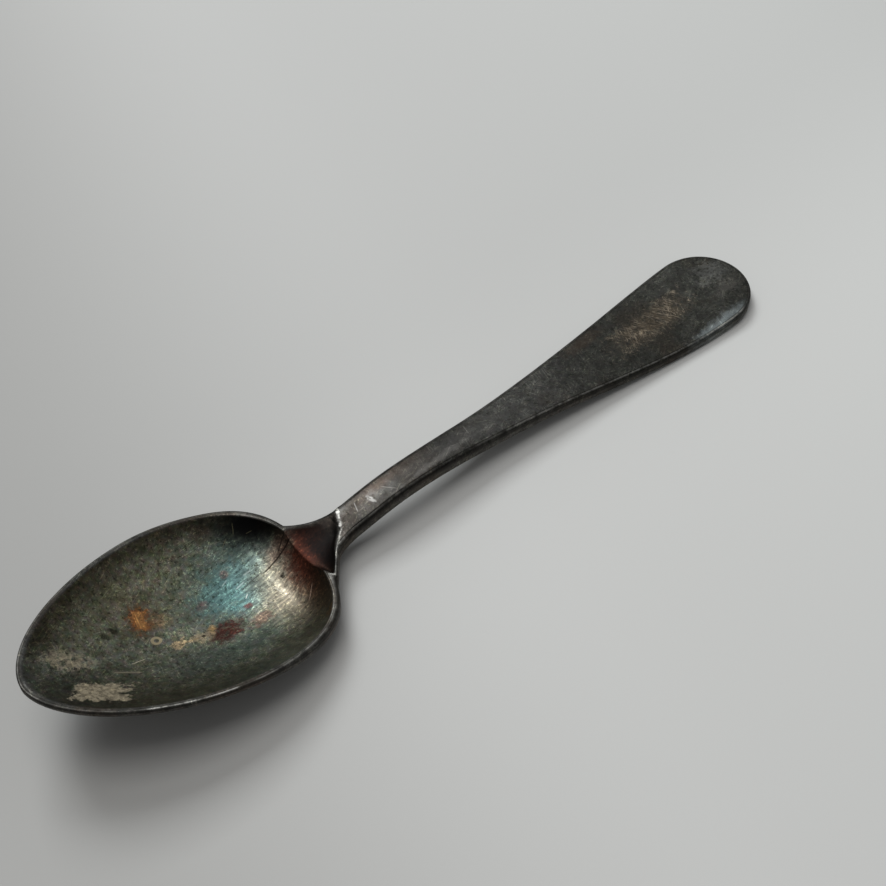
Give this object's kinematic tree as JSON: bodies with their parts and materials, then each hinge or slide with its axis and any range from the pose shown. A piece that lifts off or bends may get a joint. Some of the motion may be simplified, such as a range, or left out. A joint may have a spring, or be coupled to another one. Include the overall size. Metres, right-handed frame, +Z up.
{
  "type": "teaspoon",
  "caption": "Old tarnished teaspoon lying bowl up, with an egg-shaped bowl, a slim D-section stem and a plain flared, rounded handle end.",
  "frame": {"origin": "on the table plane, at the middle of the wear flat under the bowl", "axes": "+X from the bowl to the handle end, +Z up out of the hollow, +Y completes a right-handed frame; the spoon is the same on both sides of the XZ plane"},
  "size_m": [0.1458, 0.0332, 0.0157],
  "materials": {
    "bowl_plate": "tarnished plate with olive, teal and brown stains",
    "handle_plate": "dull grey tarnished plate, fine scratches"
  },
  "bodies": {
    "root": {"bowl": "bowl_plate", "handle": "handle_plate"}
  },
  "joints": []
}
